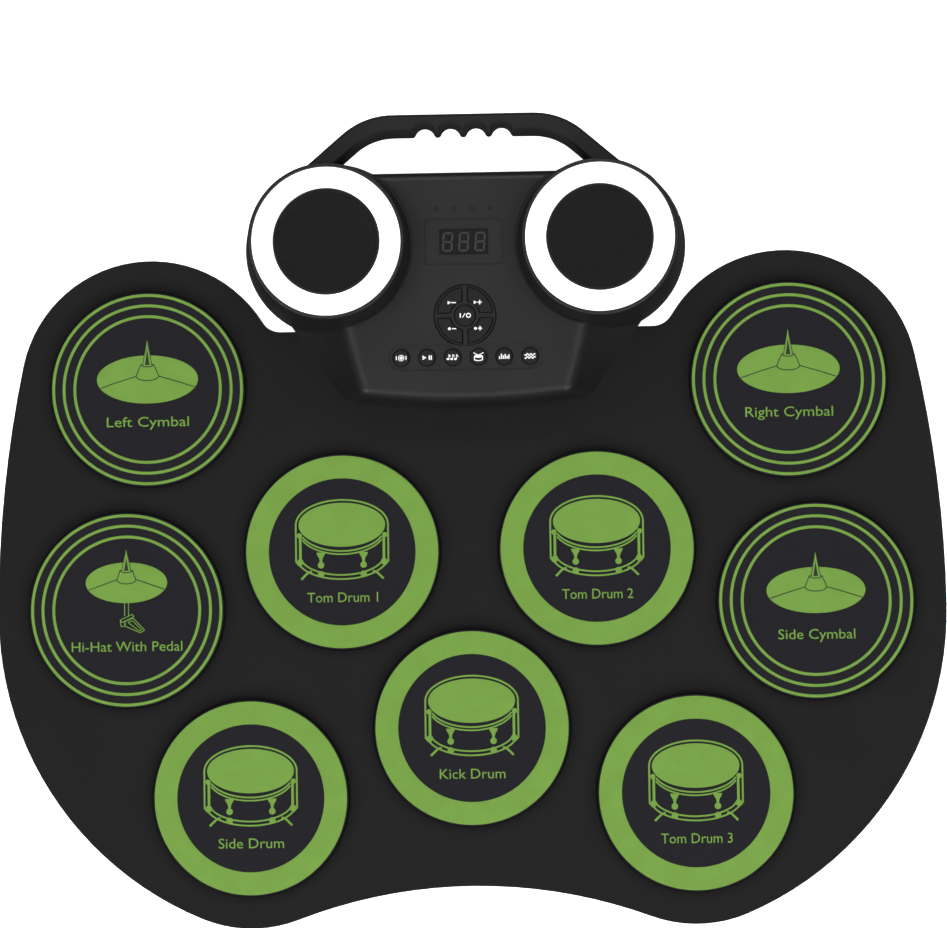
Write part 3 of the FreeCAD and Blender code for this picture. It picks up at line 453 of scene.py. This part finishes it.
def lettering(text, centre, cap, width, z):
    """Words as a solid, scaled to a capital height and a width, centred on a point."""
    curve = bpy.data.curves.new("words", "FONT")
    curve.body = text
    curve.resolution_u = 3
    curve.extrude = 0.5
    holder = bpy.data.objects.new("words", curve)
    bpy.context.scene.collection.objects.link(holder)
    bpy.context.view_layer.update()
    deps = bpy.context.evaluated_depsgraph_get()
    mesh = bpy.data.meshes.new_from_object(holder.evaluated_get(deps))
    v = np.empty(len(mesh.vertices) * 3)
    mesh.vertices.foreach_get("co", v)
    v = v.reshape(-1, 3)
    faces = [list(p.vertices) for p in mesh.polygons]
    bpy.data.objects.remove(holder)
    bpy.data.curves.remove(curve)
    bpy.data.meshes.remove(mesh)
    low, high = v.min(0), v.max(0)
    cap_units = 0.69                        # height of a capital in the built-in face
    out = np.empty_like(v)
    out[:, 0] = (v[:, 0] - (low[0] + high[0]) / 2) * width / (high[0] - low[0]) + centre[0]
    out[:, 1] = (v[:, 1] - cap_units / 2) * cap / cap_units + centre[1]
    out[:, 2] = np.where(v[:, 2] > 0, z[1], z[0])
    return out, faces


# ---- print on the pads ----------------------------------------------------------
def dot(x, y, r, z):
    """A filled circle."""
    return plate(ring_path(r, None, (x, y), n=20), z)


def drum_sketch():
    """A drum seen from the front: head, hoops, shell sides, lugs and feet. Green parts only."""
    z = INK
    head, hoop, head_y = (19.9, 10.1), (21.2, 11.4), 12.4
    side_x, tube_x, lug_x = 21.2, 19.2, 9.8
    parts = [plate(ring_path(*head, (0, head_y)), z)]
    parts.append(stroke(ring_path(*hoop, (0, head_y), 0.0, math.pi, 72), 0.8, z))
    for drop, thick in ((1.45, 0.75), (2.9, 0.7)):              # lower hoop, in two lines
        arc = ring_path(19.6, 10.6, (0, head_y - drop), math.pi + 0.38, math.pi - 0.76, 60)
        parts.append(stroke(arc, thick, z))
    for rx, ry, cy in ((20.6, 9.6, -2.9), (19.2, 8.9, -1.7)):     # bottom edge, in two lines
        parts.append(stroke(ring_path(rx, ry, (0, cy), math.pi + 0.16, math.pi - 0.32, 60), 0.75, z))
    for s in (-1, 1):
        parts.append(stroke([(s * side_x, head_y), (s * side_x, 4.0), (s * side_x, -4.6)], 0.8, z))
        parts.append(stroke([(s * tube_x, 8.0), (s * tube_x, 2.0), (s * tube_x, -4.6)], 1.2, z))
        parts.append(stroke([(s * side_x, -4.4), (s * 20.2, -5.6), (s * 18.6, -6.9)], 0.75, z))
        parts.append(dot(s * 19.6, 7.6, 1.2, z))
        parts.append(dot(s * 19.3, -4.6, 1.5, z))
        y = np.array([-0.2, -1.2, -2.6, -3.8, -5.4])        # lug: funnel narrowing to a stem
        parts.append(stroke(np.stack([np.full(5, s * lug_x), y], 1),
                            np.array([4.0, 3.6, 1.8, 1.2, 1.2]), z))
        parts.append(dot(s * lug_x, -6.0, 1.5, z))
        parts.append(dot(s * lug_x, -10.2, 1.5, z))
        foot = [(s * 14.0, -8.9), (s * 15.6, -9.3), (s * 17.0, -10.6), (s * 18.9, -12.5)]
        parts.append(stroke(foot, 1.0, z))
    return merged(parts, PLY)


def cymbal_sketch(rx, ry, cy):
    """A cymbal on its rod: a green disc with a bell, and the dark lines drawn over it."""
    z, dark = INK, OVER_INK
    top = cy + 0.62 * ry                    # where the rod meets the bell
    tip = cy + 1.65 * ry
    spike = np.array([(-1.9, top), (1.9, top), (0.0, tip)])
    green = [plate(ring_path(rx, ry, (0, cy)), z), plate(spike, (z[0], z[1] + 0.02))]
    low, half = cy + 1.5, 0.47 * ry         # the bell's foot
    lines = [plate(np.array([(-1.05, top - 0.2), (1.05, top - 0.2), (0.0, tip - 4.2)]), dark)]
    for s in (-1, 1):
        side = [(s * 1.7, top), (s * 2.9, top), (s * 0.8 * half, (top + low) / 2), (s * half, low)]
        lines.append(stroke(side, 0.42, dark))
        fold = [(s * half, low), (s * rx * 0.62, cy - ry * 0.12), (s * rx * 0.93, cy - ry * 0.34)]
        lines.append(stroke(fold, 0.4, dark))
        edge = [(s * 2.1, top), (s * 1.3, top + 4.4), (s * 0.42, tip - 2.0)]
        lines.append(stroke(edge, 0.3, dark))
    lines.append(stroke(ring_path(half, 2.0, (0, low), math.pi, math.pi, 24), 0.42, dark))
    lines.append(stroke(ring_path(2.9, 1.1, (0, top), math.pi, math.pi, 16), 0.42, dark))
    return green, lines


def pedal_sketch():
    """The stand under a hi-hat: a tube of two lines, a clamp and a sloping foot plate."""
    z, w = INK, 0.34
    parts = [stroke([(x, 3.6), (x, 0.0), (x, -2.6)], w, z) for x in (-0.95, 0.85)]
    outlines = [
        [(-2.9, -4.4), (2.6, -1.9), (3.4, -3.0), (-2.2, -5.6)],                 # heel bar
        [(-3.0, -4.6), (-2.2, -5.6), (-0.8, -5.0), (-1.0, -7.2), (-2.6, -7.6)],      # clamp
        [(-0.9, -5.2), (2.9, -3.6), (8.2, -9.2), (6.2, -10.4), (-0.6, -7.4)],       # foot plate
        [(0.6, -5.6), (2.6, -4.8), (6.8, -9.0), (5.8, -9.6)],                   # tread
    ]
    for corners in outlines:
        for a, b in zip(corners, corners[1:] + corners[:1]):
            middle = ((a[0] + b[0]) / 2, (a[1] + b[1]) / 2)
            parts.append(stroke([a, middle, b], w, z))
    return parts


def print_pads(skins):
    """Rings, sketches and names, each a thin solid standing just over its pad."""
    for name, (x, y) in PADS.items():
        dark = []
        if name in CYMBALS:
            disc, dark = cymbal_sketch(*CYMBALS[name])
            green = [annulus(*radii, INK) for radii in CYMBAL_RINGS] + disc
            if name == "pad_hi_hat":
                green += pedal_sketch()
        else:
            green = [annulus(*DRUM_RING, INK), drum_sketch()]
        text, drop, width = LABELS[name]
        green.append(lettering(text, (0, -drop), CAP_HEIGHT, width, INK))
        body, short = name + "_body", name[4:]
        layers = [("print_", green, "green")] + ([("print_lines_", dark, "line")] if dark else [])
        for start, parts, skin in layers:
            drawn = moved(merged(parts, PLY), x, y, PAD_TOP)
            piece(start + short, drawn, skins[skin], body)


# ---- print on the keys ------------------------------------------------------------
def upright(x, y, half, width, z):
    """A straight stroke up and down, half on each side of its middle."""
    return stroke([(x, y - half), (x, y), (x, y + half)], width, z)


def minus_sign(x, y, z):
    """A short level stroke."""
    return [stroke([(x - 1.0, y), (x, y), (x + 1.0, y)], 0.45, z)]


def plus_sign(x, y, z):
    """A level stroke and an upright one, crossed."""
    return minus_sign(x, y, z) + [upright(x, y, 1.0, 0.45, z)]


def wedge(x, y, z, size=1.0):
    """A filled triangle that points right."""
    corners = np.array([(-0.7, -0.8), (0.75, 0.0), (-0.7, 0.8)]) * size
    return [plate(corners + np.array([x, y]), z)]


def record_mark(x, y, z):
    """A dot in a ring, between two bars."""
    marks = [dot(x, y, 0.75, z), stroke(ring_path(1.25, None, (x, y), n=32), 0.3, z, True)]
    return marks + [upright(x + k, y, 0.9, 0.4, z) for k in (-2.2, 2.2)]


def play_mark(x, y, z):
    """A wedge and a pause sign."""
    return wedge(x - 1.1, y, z, 1.25) + [upright(x + k, y, 1.0, 0.5, z) for k in (1.1, 2.0)]


def quaver(x, y, z):
    """A tilted head, a stem and a flag."""
    return [plate(ring_path(0.62, 0.5, (x - 0.3, y - 0.8), n=20), z),
            stroke([(x + 0.22, y - 0.8), (x + 0.22, y + 0.3), (x + 0.22, y + 1.3)], 0.28, z),
            stroke([(x + 0.22, y + 1.2), (x + 0.7, y + 0.8), (x + 0.9, y + 0.2)], 0.36, z)]


def demo_mark(x, y, z):
    """Three quavers."""
    return [part for k in (-1.7, 0.0, 1.7) for part in quaver(x + k - 0.2, y, z)]


def kit_mark(x, y, z):
    """A snare drum with crossed sticks."""
    parts = [plate(ring_path(1.9, 0.7, (x, y + 0.3), n=28), z),
             stroke(ring_path(1.9, 0.6, (x, y - 1.1), math.pi, math.pi, 20), 0.4, z)]
    for s in (-1, 1):
        parts.append(upright(x + s * 1.8, y - 0.5, 0.7, 0.4, z))
        stick = [(x - s * 0.4, y + 0.6), (x + s * 1.1, y + 1.3), (x + s * 2.3, y + 1.9)]
        parts.append(stroke(stick, 0.3, z))
    return parts


def rhythm_mark(x, y, z):
    """Bars of different heights, as on a level meter."""
    return [stroke([(x + k * 0.85, y - 1.1), (x + k * 0.85, y), (x + k * 0.85, y - 1.1 + h)], 0.5, z)
            for k, h in ((-2.5, 1.2), (-1.5, 2.3), (-0.5, 1.6), (0.5, 2.2), (1.5, 1.3), (2.5, 2.0))]


def style_mark(x, y, z):
    """Two waves, height a sin(2 pi t / length), one above the other."""
    t = np.linspace(-2.4, 2.4, 48)
    wave = 0.45 * np.sin(t * TAU / 1.6)
    return [stroke(np.stack([x + t, y + k + wave], 1), 0.42, z) for k in (-0.65, 0.65)]


def power_mark(x, y, z):
    """The upright stroke, the slash and the ring that mark a mains switch."""
    return [upright(x - 2.1, y, 0.95, 0.5, z),
            stroke([(x - 1.1, y - 1.0), (x - 0.5, y), (x + 0.1, y + 1.0)], 0.35, z),
            stroke(ring_path(0.9, None, (x + 1.6, y), n=32), 0.45, z, True)]


def print_keys(skins):
    """White marks: two on each curved key, one on the round key and on each key of the row."""
    z = (SECTOR_TOP + INK[0], SECTOR_TOP + INK[1])
    for key, sx, sy, sign in (("key_volume_down", -1, 1, minus_sign), ("key_volume_up", 1, 1, plus_sign),
                              ("key_tempo_down", -1, -1, minus_sign), ("key_tempo_up", 1, -1, plus_sign)):
        x, y = sx * MARK_OUT, sy * MARK_OUT
        subject = wedge(x - 1.1, y, z) if sy > 0 else [dot(x - 1.2, y, 0.65, z)]
        part = on_face(merged(subject + sign(x + 0.9, y, z), PLY), DISH_Y)
        piece("print_" + key, part, skins["white"], key + "_body")
    piece("print_key_power", on_face(merged(power_mark(0, 0, z), PLY), DISH_Y), skins["white"],
          "key_power_body")
    z = (KEY_TOP + INK[0], KEY_TOP + INK[1])
    marks = [("key_record", record_mark), ("key_play", play_mark), ("key_demo", demo_mark),
             ("key_kit", kit_mark), ("key_rhythm", rhythm_mark), ("key_style", style_mark)]
    for i, (key, mark) in enumerate(marks):
        part = on_face(merged(mark((i - 2.5) * KEY_PITCH, 0, z), PLY), ROW_Y)
        piece("print_" + key, part, skins["white"], key + "_body")


# ---- display, grilles -------------------------------------------------------------
def segment(cx, cy, length, thick, standing):
    """One bar of a digit: a long hexagon."""
    a, b = length / 2, thick / 2
    p = np.array([(-a, 0), (-a + b, -b), (a - b, -b), (a, 0), (a - b, b), (-a + b, b)])
    if standing:
        p = np.stack([-p[:, 1], p[:, 0]], 1)
    return p + np.array([cx, cy])


def digits(skins):
    """Three sloped seven-bar figures, all bars showing, unlit."""
    w, h, thick, pitch = 3.9, 8.0, 0.8, 7.35
    lean, gap = math.tan(math.radians(4)), 0.25
    z = (-2.2, -2.05)                       # set in the module's front at -2.15, under the window
    bars = [(0, k * h / 2, False) for k in (1, 0, -1)]
    bars += [(sx * w / 2, sy * h / 4, True) for sy in (1, -1) for sx in (-1, 1)]
    parts = []
    for i in (-1, 0, 1):
        for cx, cy, standing in bars:
            p = segment(cx, cy, (h / 2 if standing else w) - gap, thick, standing)
            p[:, 0] += p[:, 1] * lean + i * pitch
            parts.append(plate(p, z))
    drawn = on_face(merged(parts, PLY), SCREEN_Y)
    piece("display_digits", drawn, skins["digit"], ROOT)


def punched_plate(radius, pitch, hole, z):
    """Six-sided cells round six-sided holes on a triangular grid, with a wall down each hole."""
    rows = int(radius / (pitch * 0.866)) + 2
    cols = int(radius / pitch) + 2
    a, b = np.meshgrid(np.arange(-cols, cols + 1), np.arange(-rows, rows + 1))
    cx = (a + 0.5 * (b % 2)).ravel() * pitch
    cy = b.ravel() * pitch * 0.8660254
    keep = np.hypot(cx, cy) < radius - pitch * 0.5
    c = np.stack([cx[keep], cy[keep]], 1)
    t = np.arange(6) * TAU / 6 + TAU / 12
    rim = np.stack([np.cos(t), np.sin(t)], 1)
    outer = c[:, None, :] + rim[None] * (pitch / math.sqrt(3))
    inner = c[:, None, :] + rim[None] * hole
    n = len(c)
    layers = [np.dstack([outer, np.full((n, 6), z[1])]), np.dstack([inner, np.full((n, 6), z[1])]),
              np.dstack([inner, np.full((n, 6), z[0])])]
    v = np.concatenate(layers, 1).reshape(-1, 3)
    k = np.arange(6)
    j = (k + 1) % 6
    quads = np.vstack([np.stack([k, j, j + 6, k + 6], 1), np.stack([k + 6, j + 6, j + 12, k + 12], 1)])
    faces = (quads[None] + (np.arange(n) * 18)[:, None, None]).reshape(-1, 4)
    return v, faces.tolist()


def lathe(profile, centre, n=128):
    """A closed profile of (radius, height) points turned about an upright axis."""
    p = np.asarray(profile, float)
    m = len(p)
    t = np.arange(n) * TAU / n
    x = centre[0] + p[None, :, 0] * np.cos(t)[:, None]
    y = centre[1] + p[None, :, 0] * np.sin(t)[:, None]
    v = np.stack([x, y, np.broadcast_to(p[None, :, 1], (n, m))], 2).reshape(-1, 3)
    i, k = np.meshgrid(np.arange(n), np.arange(m), indexing="ij")
    i2, k2 = (i + 1) % n, (k + 1) % m
    faces = np.stack([i * m + k, i2 * m + k, i2 * m + k2, i * m + k2], -1).reshape(-1, 4)
    return v, faces.tolist()


def grilles(skins):
    """Punched plate with a rolled rim and a skirt, in place of each plain grille disc."""
    plate_r, pitch, hole, thick = 23.1, 1.0, 0.34, 0.5
    rim_r, rim_z, roll_r, roll_h = 23.3, NECK_Z + 0.46, 0.62, 0.39
    skirt_r, skirt_z = (21.6, 22.3), (NECK_Z - 1.4, NECK_Z + 0.3)
    top = NECK_Z + 0.75
    turn = np.linspace(0, TAU, 14, endpoint=False)
    roll = np.stack([rim_r + roll_r * np.cos(turn), rim_z + roll_h * np.sin(turn)], 1)
    skirt = [(skirt_r[0], skirt_z[0]), (skirt_r[1], skirt_z[0]),
             (skirt_r[1], skirt_z[1]), (skirt_r[0], skirt_z[1])]
    for side, word in ((-1, "left"), (1, "right")):
        centre = (side * POD[0], POD[1])
        sheet = moved(punched_plate(plate_r, pitch, hole, (top - thick, top)), *centre)
        whole = merged([sheet, lathe(roll, centre), lathe(skirt, centre)])
        obj = piece("grille_mesh_" + word, whole, skins["grille"], ROOT)
        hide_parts("grille_" + word)


# ---- finishes ---------------------------------------------------------------------
def make_skins():
    """Every finish, by the short name that pieces and nodes ask for it with."""
    return {
        "mat": mat_skin("mat_silicone", (0.0060, 0.0060, 0.0060)),
        "backing": ribbed("mat_backing", (0.012, 0.012, 0.013)),
        "pad": silicone("pad_silicone", (0.0060, 0.0056, 0.0082), 0.3, 0.6, 0.02, 0.05),
        "green": ink("print_green", (0.119, 0.238, 0.0325)),
        "line": ink("print_line", (0.010, 0.018, 0.008)),
        "white": ink("print_white", (0.85, 0.85, 0.85)),
        "shell": moulded("shell_plastic", (0.0100, 0.0100, 0.0100), 0.34, gloss=0.22),
        "handle": moulded("handle_plastic", (0.0125, 0.0125, 0.0125), 0.4),
        "button": moulded("button_plastic", (0.0095, 0.0095, 0.0095), 0.42, 0.4, 0.02),
        "keypad": silicone("keypad_rubber", (0.30, 0.30, 0.29), 0.4, 0.5),
        "board": circuit("circuit_board", (0.008, 0.075, 0.028), (0.75, 0.6, 0.3)),
        "lamp_board": circuit("lamp_board", (0.62, 0.62, 0.60), (0.8, 0.7, 0.5)),
        "steel": metal("screw_steel", (0.55, 0.55, 0.54)),
        "socket_steel": metal("socket_steel", (0.62, 0.62, 0.61), 0.25),
        "window": smoked("display_window", (0.010, 0.010, 0.011), 0.55),
        "pipe": smoked("lamp_pipe", (0.010, 0.010, 0.011), 0.0),
        "digit": moulded("digit_bars", (0.36, 0.36, 0.36), 0.4),
        "digit_face": moulded("digit_face", (0.010, 0.010, 0.010), 0.5),
        "basket": moulded("basket_paint", (0.025, 0.025, 0.026), 0.4, 0.8),
        "magnet": moulded("magnet_ferrite", (0.045, 0.045, 0.048), 0.65, 0.9),
        "paper": fibre("cone_paper", (0.022, 0.022, 0.022)),
        "grille": moulded("grille_paint", (0.0085, 0.0085, 0.0085), 0.45, 0.25, 0.01),
        "ring": lamp_white("ring_diffuser", (0.93, 0.93, 0.93), 1.0),
        "battery": metal("battery_foil", (0.55, 0.56, 0.58), 0.38, (30.0, 1.0, 30.0)),
        "socket": moulded("socket_plastic", (0.014, 0.014, 0.014), 0.4, 0.6),
        "foot": silicone("foot_rubber", (0.018, 0.018, 0.018), 0.5, 0.75, 0.05),
        "foam": foam("foam", (0.04, 0.04, 0.04)),
        "film": film_tracks("film", (0.55, 0.54, 0.48)),
    }


# the start of a node's name, and its finish; the first that fits is taken
NODE_SKINS = [
    ("mat_top_sheet", "mat"), ("mat_base_sheet", "backing"), ("mat_clamp_plate", "steel"),
    ("trigger_film", "film"), ("pad_cushions", "foam"), ("pad_", "pad"), ("ribbon_tail", "film"),
    ("clamp_screws", "steel"), ("lower_housing", "shell"), ("upper_housing", "shell"),
    ("key_board", "board"), ("key_", "button"), ("rubber_keypad", "keypad"), ("main_board", "board"),
    ("board_screws", "steel"), ("display_window", "window"), ("display_module", "digit_face"),
    ("indicator", "pipe"), ("speaker_basket", "basket"), ("speaker_magnet", "magnet"),
    ("speaker_cone", "paper"), ("speaker_screws", "steel"), ("grille", "grille"), ("light_ring", "ring"),
    ("led_board", "lamp_board"), ("battery", "battery"), ("audio_jacks", "socket"),
    ("usb", "socket_steel"), ("rubber_feet", "foot"), ("housing_screws", "steel"),
    ("handle_screws", "steel"), ("carry_handle", "handle"),
]


def finish_nodes(skins):
    """Gives every CAD node the finish that the start of its name asks for."""
    for name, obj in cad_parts.items():
        skin = next(s for start, s in NODE_SKINS if name.startswith(start))
        for slot in obj.material_slots:
            slot.material = skins[skin]


# ---- studio -----------------------------------------------------------------------
def area(name, place, aim, size, power):
    """A white rectangular light at place, turned towards aim."""
    light = bpy.data.lights.new(name, "AREA")
    light.shape, light.size, light.size_y = "RECTANGLE", *size
    light.energy = power
    obj = bpy.data.objects.new(name, light)
    bpy.context.scene.collection.objects.link(obj)
    obj.location = place
    obj.rotation_euler = (Vector(aim) - Vector(place)).to_track_quat("-Z", "Y").to_euler()


def sky():
    """Dim even white all round."""
    world = bpy.data.worlds.new("studio")
    world.use_nodes = True
    background = world.node_tree.nodes["Background"]
    background.inputs["Color"].default_value = (1, 1, 1, 1)
    background.inputs["Strength"].default_value = SKY_LEVEL
    bpy.context.scene.world = world


def white_floor():
    """A bright white square just under the feet."""
    mesh = bpy.data.meshes.new("floor")
    corners = [(x * FLOOR_HALF, y * FLOOR_HALF, FLOOR_Z) for x, y in ((-1, -1), (1, -1), (1, 1), (-1, 1))]
    mesh.from_pydata(corners, [], [(0, 1, 2, 3)])
    floor = bpy.data.objects.new("floor", mesh)
    bpy.context.scene.collection.objects.link(floor)
    s = Skin("floor_white").gloss(0.0)
    s.set(Base_Color=s.mix(s.noise(300.0), (0.93, 0.93, 0.93), (0.95, 0.95, 0.95)))
    for key, value in (("Roughness", 0.9), ("Emission Strength", FLOOR_GLOW),
                       ("Emission Color", (1.0, 1.0, 1.0, 1.0))):
        s.shader.inputs[key].default_value = value
    mesh.materials.append(s.mat)
    floor.visible_diffuse = False           # the floor neither lights the walls nor shows in them
    floor.visible_glossy = False


def camera():
    """Looks from CAM_EYE to CAM_AIM with +Y up in the picture, then rolls by CAM_ROLL."""
    cam = bpy.data.cameras.new("camera")
    cam.sensor_width = CAM_SENSOR
    cam.lens = CAM_LENS
    cam.clip_start = 0.05
    obj = bpy.data.objects.new("camera", cam)
    bpy.context.scene.collection.objects.link(obj)
    eye, aim = Vector(CAM_EYE), Vector(CAM_AIM)
    forward = (aim - eye).normalized()
    right = forward.cross(Vector((0, 1, 0))).normalized()
    up = right.cross(forward)
    turn = math.radians(CAM_ROLL)
    r = right * math.cos(turn) - up * math.sin(turn)
    u = right * math.sin(turn) + up * math.cos(turn)
    obj.matrix_world = Matrix(((r.x, u.x, -forward.x, eye.x), (r.y, u.y, -forward.y, eye.y),
                               (r.z, u.z, -forward.z, eye.z), (0, 0, 0, 1)))
    bpy.context.scene.camera = obj


def studio():
    """Sky, lights, floor and camera, none of them part of the object."""
    bpy.context.scene.view_settings.view_transform = "Standard"
    sky()
    for light in LIGHTS:
        area(*light)
    white_floor()
    camera()


skins = make_skins()
finish_nodes(skins)
print_pads(skins)
print_keys(skins)
digits(skins)
grilles(skins)
studio()
